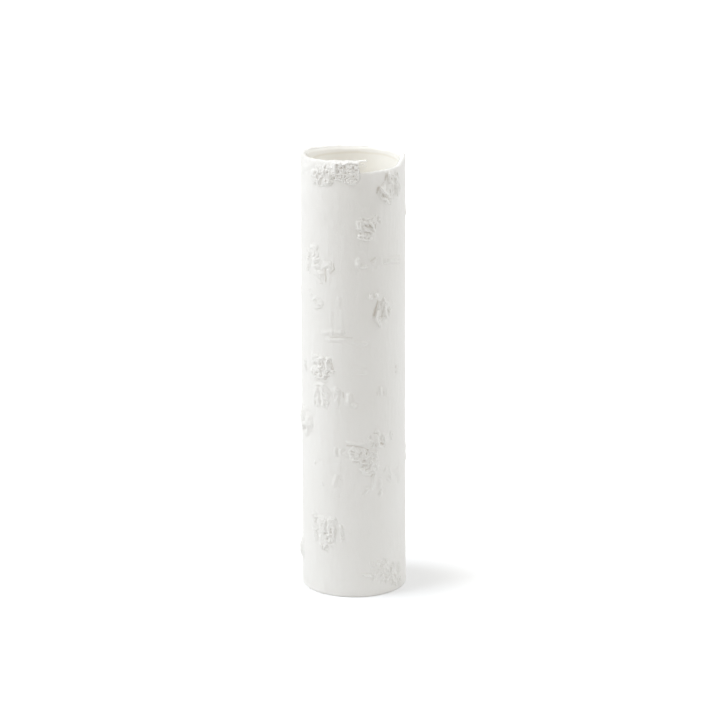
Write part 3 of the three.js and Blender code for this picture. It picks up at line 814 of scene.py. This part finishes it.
pressed("knot_small_front", "smooth", dabs=[
    (WIDE, (337, 477), (334, 485)), (BROAD, (323, 482), (323, 484)),
], marks=[
    (BROAD, 0.15, (336.5, 476.5), (333.5, 485)), (FINE, -0.8, (339.5, 479), (340.5, 479.3)),
    (FINE, 0.2, (322, 481), (322.5, 485)), (WIDE, 0.1, (337, 487), (337, 495)),
])

# Welts are thin rolls of clay smeared along with a finger, as where bark has closed over a wound.
pressed("welt_middle_front", "scored", dabs=[
    (WIDE, (325, 332.5), (346, 332)), (WIDE, (328, 339), (347, 340)), (WIDE, (350, 341), (366, 343)),
], marks=[
    (BROAD, 0.3, (323, 332.5), (331, 331.5)), (NARROW, 0.3, (332, 334), (332, 331)),
    (NARROW, 0.3, (341, 333), (341, 331)), (NARROW, -0.9, (331, 337), (340, 336.5), (352, 337.5)),
    (NARROW, 0.45, (330, 339.5), (344, 339.5)), (BROAD, 0.35, (354, 342), (360, 344), (366, 343)),
    (FINE, -0.4, (345, 330), (345, 335)), (FINE, -0.3, (333, 343)),
    (BROAD, 0.18, (341.5, 312), (341.5, 329)), (BROAD, 0.16, (339, 298), (337.5, 305)),
    (BROAD, 0.14, (331, 312), (331, 323)),
])
pressed("welt_lower_front", "scored", dabs=[(BROAD, (354, 373), (365, 373))], marks=[
    (NARROW, 0.42, (354, 374), (365, 373)), (FINE, 0.26, (352, 367), (366, 368)),
])
pressed("welt_over_crust", "scored", dabs=[(WIDE, (348, 443), (362, 444.5))], marks=[
    (NARROW, 0.5, (348, 442.5), (356, 443.5), (363, 445)),
    (NARROW, -1.2, (347, 445.3), (353, 445.8), (361, 447), (367, 449.5)), (NARROW, -1, (368.3, 450)),
])

# The other crusts of the front half: broad, low patches, some smooth, some drawn down into strands.
pressed("crust_upper_left", "worn", dabs=[
    (THUMB, (315, 249), (316, 262)), (THUMB, (316, 266), (319, 274)), (FINGER, (309, 252), (308, 268)),
], marks=[
    (FINE, -0.35, (317, 250), (320, 249)), (FINE, -0.3, (313, 257), (315, 256)),
    (FINE, -0.3, (317, 258), (319, 256.5)), (FINE, -0.35, (316, 264), (319, 262.3)),
    (FINE, -0.45, (312, 268.7), (315, 269)), (FINE, -0.4, (317, 269.5), (319, 269.5)),
    (BROAD, 0.25, (319, 273.3), (322, 273.5)), (NARROW, 0.2, (311, 247), (313, 247)),
    (FINE, -0.35, (305, 271), (309, 271)), (FINE, 0.25, (314, 254)),
    (NARROW, 0.2, (313, 260.5), (316, 260)), (NARROW, 0.2, (315, 266), (319, 266)),
])
pressed("crust_tail_left", "smooth", dabs=[
    (FINGER, (326, 265), (330, 266)), (WIDE, (329, 270), (330, 272)), (WIDE, (321, 275), (322, 279)),
], marks=[
    (NARROW, 0.3, (322, 268), (328, 265)), (NARROW, -1, (333, 263.5), (333.8, 269), (330.5, 273)),
    (NARROW, -1.2, (324.8, 269), (325.3, 275), (325.6, 281)), (NARROW, -0.9, (320, 283), (322, 283.5)),
    (BROAD, 0.2, (321, 273)), (FINE, -0.4, (327.5, 268), (326, 270)),
])
pressed("crust_small_left", "worn", dabs=[
    (THUMB, (315, 301), (319, 305)), (WIDE, (309, 290), (311, 294)),
], marks=[
    (FINE, -0.5, (316, 301), (317, 301.7)), (NARROW, 0.25, (314, 299), (316, 298)),
    (NARROW, 0.3, (320.5, 304.3), (322, 304.6)), (FINE, -0.4, (313, 310.7), (315, 310)),
    (FINE, -0.4, (319, 309.3), (321, 309)), (NARROW, 0.15, (315, 308.3), (319, 307.2)),
    (NARROW, -0.35, (306, 290), (308, 291.5)),
])
pressed("crust_middle_left", "strands", dabs=[
    (THUMB, (317, 390), (317, 401)), (THUMB, (324, 389), (324.5, 402)),
], marks=[
    (NARROW, 0.3, (315, 384.5), (324, 384)), (NARROW, 0.25, (318, 388), (314.5, 396)),
    (FINE, 0.3, (323, 387), (323, 391)), (FINE, -0.5, (320, 394), (320.5, 396)),
    (FINE, -0.5, (324.5, 395), (325, 397)), (NARROW, -0.5, (316, 402), (316, 404)),
    (FINE, -0.5, (321, 401), (321, 403)), (FINE, -0.5, (325, 400), (327, 402)),
    (FINE, 0.25, (319, 397), (319, 400)), (FINE, 0.25, (324, 402), (324, 406)),
])
pressed("crust_middle_front", "smooth", dabs=[
    (FINGER, (336, 391), (338, 402)), (FINGER, (349, 396), (349, 402)), (WIDE, (352, 404), (354.5, 405)),
], marks=[
    (BROAD, 0.6, (335.5, 389), (338.5, 391.5)), (FINE, -0.5, (332, 394), (332.5, 396)),
    (BROAD, -0.4, (340.7, 398), (340.7, 402)), (NARROW, -1, (343, 392.5), (343.3, 397)),
    (BROAD, 0.75, (348.7, 395), (349, 401)), (BROAD, 0.75, (353, 404), (354.5, 405)),
    (FINE, -0.4, (336, 395), (336, 398)), (FINE, -0.6, (336, 408.5), (341, 408.5)),
])
pressed("crust_side_left", "swollen", marks=[
    (NARROW, -0.5, (306, 418.5), (306, 420)), (BROAD, -0.4, (304.5, 429), (307.5, 427)),
    (NARROW, 0.12, (309, 423)),
])
pressed("crust_lower_right", "worn", cliff=180, curl=0.2, dabs=[
    (THUMB, (377, 436), (378, 442)), (THUMB, (384.5, 437), (383.5, 442)), (WIDE, (391, 434), (392, 438)),
    (FINGER, (372.5, 438), (372.5, 444)),
], marks=[
    (FINE, -0.5, (374, 433), (377, 433.5)), (FINE, -0.6, (370, 436), (370, 438)),
    (FINE, -0.5, (371.5, 446), (372.5, 443)), (FINE, -1, (375.3, 445.5), (375.8, 444)),
    (FINE, -0.5, (380.5, 437), (380.5, 439)), (NARROW, -1.6, (380.8, 443), (383, 444)),
    (FINE, -0.9, (384, 446), (384.5, 447)), (NARROW, 0.5, (377.7, 437), (377.7, 441)),
    (NARROW, 0.55, (378.3, 442.5), (379.3, 445.5)), (NARROW, 0.4, (384.5, 437), (384.5, 440)),
    (FINE, -0.5, (392, 434), (392.5, 437)),
])
pressed("crust_lower_front", "crumbled", dabs=[
    (THUMB, (354, 452), (362, 453)), (FINGER, (367, 456), (366, 467)), (THUMB, (373, 454), (373.5, 466)),
    (FINGER, (354, 459), (359, 460)), (FINGER, (365, 471), (371, 473)),
], marks=[
    (FINE, 0.3, (351, 455.5), (358, 457)), (FINE, 0.3, (354, 459), (360, 459)),
    (FINE, -0.4, (352, 451), (354, 452)), (FINE, -0.6, (359, 454.5), (361.5, 452.5)),
    (FINE, 0.3, (365, 450), (365, 455)), (FINE, -0.6, (366, 454), (367, 451)),
    (NARROW, -1.2, (363.5, 460.5), (364.3, 460.5)), (NARROW, -1.1, (362.5, 466), (366, 465.2)),
    (NARROW, -1.1, (371, 476.5), (373, 474.5)), (FINE, 0.35, (362, 463), (366, 463)),
    (FINE, 0.4, (369, 450.5), (376, 453)), (FINE, 0.4, (371, 460), (373, 464), (376, 459)),
    (NARROW, 0.4, (361, 469), (366, 471), (370, 469)), (FINE, -0.5, (361, 474), (366, 477), (369, 476)),
    (FINE, -0.4, (353, 461), (358, 461.5)),
])
pressed("crust_trail_right", "strands", dabs=[
    (WIDE, (374, 476), (373, 487)), (WIDE, (380, 480), (380, 493)), (FINGER, (387, 471), (390, 478)),
    (FINGER, (397, 470), (400, 478)), (BROAD, (368, 488), (363, 495)),
], marks=[
    (NARROW, 0.7, (374.3, 475), (373.6, 482), (371.8, 487.5)), (FINE, -0.5, (370.5, 485), (370, 488)),
    (FINE, -0.8, (380, 490), (378, 495)), (FINE, -0.5, (376, 486), (376.3, 489)),
    (FINE, 0.35, (382, 489), (381, 495)), (NARROW, -0.6, (388, 476), (390, 479)),
    (FINE, 0.35, (389, 467), (391, 474)), (FINE, -0.5, (394, 474), (395, 478)),
    (FINE, -0.6, (366, 490), (362, 495)), (FINE, 0.25, (369, 489), (365, 494)),
    (FINE, -0.4, (401, 474), (402, 479)),
])
pressed("crust_lower_left", "crumbled", dabs=[
    (THUMB, (323, 521), (324, 545)), (THUMB, (331, 522), (330, 542)), (FINGER, (314, 515), (316, 537)),
    (BROAD, (341, 526), (342, 540)),
], marks=[
    (FINE, -0.4, (312, 512)), (FINE, -0.35, (318, 512.5), (319, 513)), (FINE, 0.3, (316, 516), (318, 517)),
    (FINE, -0.4, (317, 520), (317, 522)), (FINE, -0.5, (322, 524), (321.8, 526.5)),
    (NARROW, -0.6, (317.5, 531.5), (318, 533)), (FINE, -0.4, (314, 535), (314, 537)),
    (FINE, -0.6, (325, 533.3), (327.5, 533)), (FINE, -0.6, (328, 537), (328, 539)),
    (FINE, -0.6, (331.3, 529), (331, 533)), (FINE, -0.4, (336, 526), (336, 529)),
    (FINE, -0.4, (336, 534), (336, 537)), (FINE, -0.5, (343, 539.5), (343, 542)),
    (FINE, -0.4, (330, 543), (333, 543)), (NARROW, -0.55, (325, 548.5), (327, 549)),
    (FINE, 0.4, (329, 535.3), (331, 534)), (FINE, 0.35, (334.5, 529), (334, 538)),
    (FINE, 0.35, (324, 548), (327, 545)),
])
pressed("crust_side_low", "swollen")
pressed("crust_foot_right", "crumbled", dabs=[
    (THUMB, (375, 566), (376, 575)), (THUMB, (384, 564), (385, 578)), (BROAD, (364, 575), (370, 576)),
], marks=[
    (FINE, -0.5, (378, 570), (376, 573)), (NARROW, -0.6, (385, 575.5), (385, 577)),
    (NARROW, -0.8, (385, 581), (385.5, 582.5)), (FINE, 0.4, (376, 562.5), (380, 561.5)),
    (FINE, 0.35, (388, 569), (389, 575)), (FINE, 0.25, (362, 574), (370, 575)),
    (FINE, -0.3, (362, 578.5), (371, 577.5)),
])
pressed("crust_foot_side", "crumbled", dabs=[
    (FINGER, (392, 565), (393, 581)), (FINGER, (398.5, 565), (399, 581)),
], marks=[
    (FINE, -0.7, (392, 563), (394, 567)), (FINE, -0.4, (393, 574), (396, 573)),
    (FINE, -0.6, (398, 579), (400.5, 580.5)), (FINE, 0.4, (391, 567), (390, 571)),
    (FINE, 0.4, (394.5, 575.5), (398.5, 579.5)), (FINE, 0.35, (393, 581), (396, 585)),
])

# The back half carries the same kinds of pat, more sparsely.
for node, kind in {
    "crust_back_shoulder": "porous", "crust_back_rim": "porous", "knot_back_upper": "leafy",
    "crust_back_upper": "flaky", "knot_back_left": "leafy", "knot_back_right": "leafy",
    "crust_back_middle": "flaky", "crust_back_lower": "strands", "knot_back_lower": "flaky",
    "crust_back_right": "strands", "crust_back_low": "flaky", "crust_back_foot": "leafy",
}.items():
    pressed(node, kind, step=BACK_STEP)

# The table under the vase is plain white, and keeps the vase's shadow. The camera sees it a little
# brighter than it is lit, the more so away from the vase, until it meets the white behind.
FLOOR_WHITE = (0.92, 0.928, 0.94, 1)
FLOOR_GLOW = 0.095
FAR_GLOW = 0.35
FAR_AWAY = 0.14
FLOOR_HALF = 4
FLOOR_FRONT = 1
table = bmesh.new()
bmesh.ops.create_grid(table, x_segments=1, y_segments=1, size=FLOOR_HALF,
                      matrix=Matrix.Translation((0, FLOOR_HALF - FLOOR_FRONT, 0)))
floor_mesh = bpy.data.meshes.new("floor")
table.to_mesh(floor_mesh)
table.free()
floor = added("floor", floor_mesh)
floor_paint, floor_wires, floor_shader = blank("floor_white")
floor_shader.inputs["Base Color"].default_value = FLOOR_WHITE
floor_shader.inputs["Roughness"].default_value = 1
floor_shader.inputs["Specular IOR Level"].default_value = 0
seen = floor_wires.node("ShaderNodeLightPath", {}, {}, outlet="Is Camera Ray")
floor_place = floor_wires.node("ShaderNodeTexCoord", {}, {}, outlet="Object")
away = floor_wires.node("ShaderNodeVectorMath", {"operation": "LENGTH"}, {0: floor_place}, outlet="Value")
far = floor_wires.node("ShaderNodeMapRange", {"interpolation_type": "SMOOTHSTEP"},
                       {"Value": away, "From Min": FOOT_RADIUS, "From Max": FAR_AWAY})
glow = floor_wires.node("ShaderNodeEmission", {}, {"Strength": seen * (far * FAR_GLOW + FLOOR_GLOW)})
lit = Wire(floor_wires.tree, floor_shader.outputs[0])
both = floor_wires.node("ShaderNodeAddShader", {}, {0: glow, 1: lit})
both.into(floor_wires.tree.nodes["Material Output"].inputs["Surface"])
floor_mesh.materials.append(floor_paint)

# Soft light from all round, and a broad cool lamp at each side. A lamp has its place, its width and
# height, its power and its colour. Two small lamps with snoots light the mouth: each has its place, the
# spot it is aimed at, how far its beam reaches round that, its power and its colour.
AMBIENT = 0.455
AMBIENT_COLOUR = (1.045, 1, 0.93, 1)
WHITE = (1, 1, 1, 1)
LAMPS = {
    "left_lamp": ((-1.9, -0.2, 2.2), 2.2, 2, 53, (0.935, 0.985, 1.04)),
    "right_lamp": ((2, 0.3, 1.7), 3.2, 2.2, 29, (0.935, 0.985, 1.04)),
}
MOUTH_LAMPS = {
    "mouth_lamp_front": ((0, -1.35, 1.7), (-0.003, 0.016, WALL_HEIGHT), 0.041, 40, (1, 1, 1.02)),
    "mouth_lamp_left": ((-1.1, -0.9, 1.5), (0.031, 0.01, WALL_HEIGHT - 0.004), 0.026, 32, (0.92, 1, 1.1)),
}
MOUTH_LAMP_SIZE = 0.02
MOUTH_LAMP_BLEND = 0.5
BOUNCES = 12
world = bpy.data.worlds.new("studio")
world.use_nodes = True
bpy.context.scene.world = world
bpy.context.scene.cycles.diffuse_bounces = BOUNCES
sky = Wire(world.node_tree)
path = {name: sky.node("ShaderNodeLightPath", {}, {}, outlet=name)
        for name in ("Is Camera Ray", "Is Glossy Ray", "Is Transmission Ray")}
direct = path["Is Camera Ray"] + path["Is Glossy Ray"] + path["Is Transmission Ray"]
brightness = direct * (1 - AMBIENT) + AMBIENT
backdrop = world.node_tree.nodes["Background"]
brightness.into(backdrop.inputs["Strength"])
direct.mixed(AMBIENT_COLOUR, WHITE).into(backdrop.inputs["Color"])


def hung(lamp, place, target, power, colour):
    lamp.energy = power
    lamp.color = colour
    stand = added(lamp.name, lamp)
    stand.location = place
    stand.rotation_euler = (Vector(target) - Vector(place)).to_track_quat("-Z", "Y").to_euler()


aim = Vector((0, 0, VIEW_MIDDLE))
for name, (place, width, height, power, colour) in LAMPS.items():
    lamp = bpy.data.lights.new(name, "AREA")
    lamp.shape = "RECTANGLE"
    lamp.size, lamp.size_y = width, height
    hung(lamp, place, aim, power, colour)
for name, (place, target, reach, power, colour) in MOUTH_LAMPS.items():
    snoot = bpy.data.lights.new(name, "SPOT")
    snoot.shadow_soft_size = MOUTH_LAMP_SIZE
    snoot.spot_blend = MOUTH_LAMP_BLEND
    snoot.spot_size = 2 * math.atan(reach / (Vector(target) - Vector(place)).length)
    hung(snoot, place, target, power, colour)

# The camera stands where the photograph was taken from, and looks as far past the vase's axis.
IMAGE_SIDE = 720
SENSOR = 36
camera = bpy.data.cameras.new("camera")
camera.sensor_width = SENSOR
camera.lens = SENSOR * VIEW_DISTANCE * PIXELS_PER_METRE / IMAGE_SIDE
right = Vector((1, 0, 0))
up = Vector((0, math.sin(VIEW_TILT), math.cos(VIEW_TILT)))
beside = (IMAGE_SIDE / 2 - AXIS_PIXEL[0]) / PIXELS_PER_METRE
above = (AXIS_PIXEL[1] - IMAGE_SIDE / 2) / PIXELS_PER_METRE
looked_at = aim + right * beside + up * above
back = Vector((0, -math.cos(VIEW_TILT), math.sin(VIEW_TILT)))
tripod = added("camera", camera)
tripod.location = looked_at + back * VIEW_DISTANCE
level = (-back).to_track_quat("-Z", "Y")
tripod.rotation_euler = (level @ Quaternion((0, 0, 1), -VIEW_ROLL)).to_euler()
bpy.context.scene.camera = tripod
bpy.context.scene.view_settings.view_transform = "Standard"
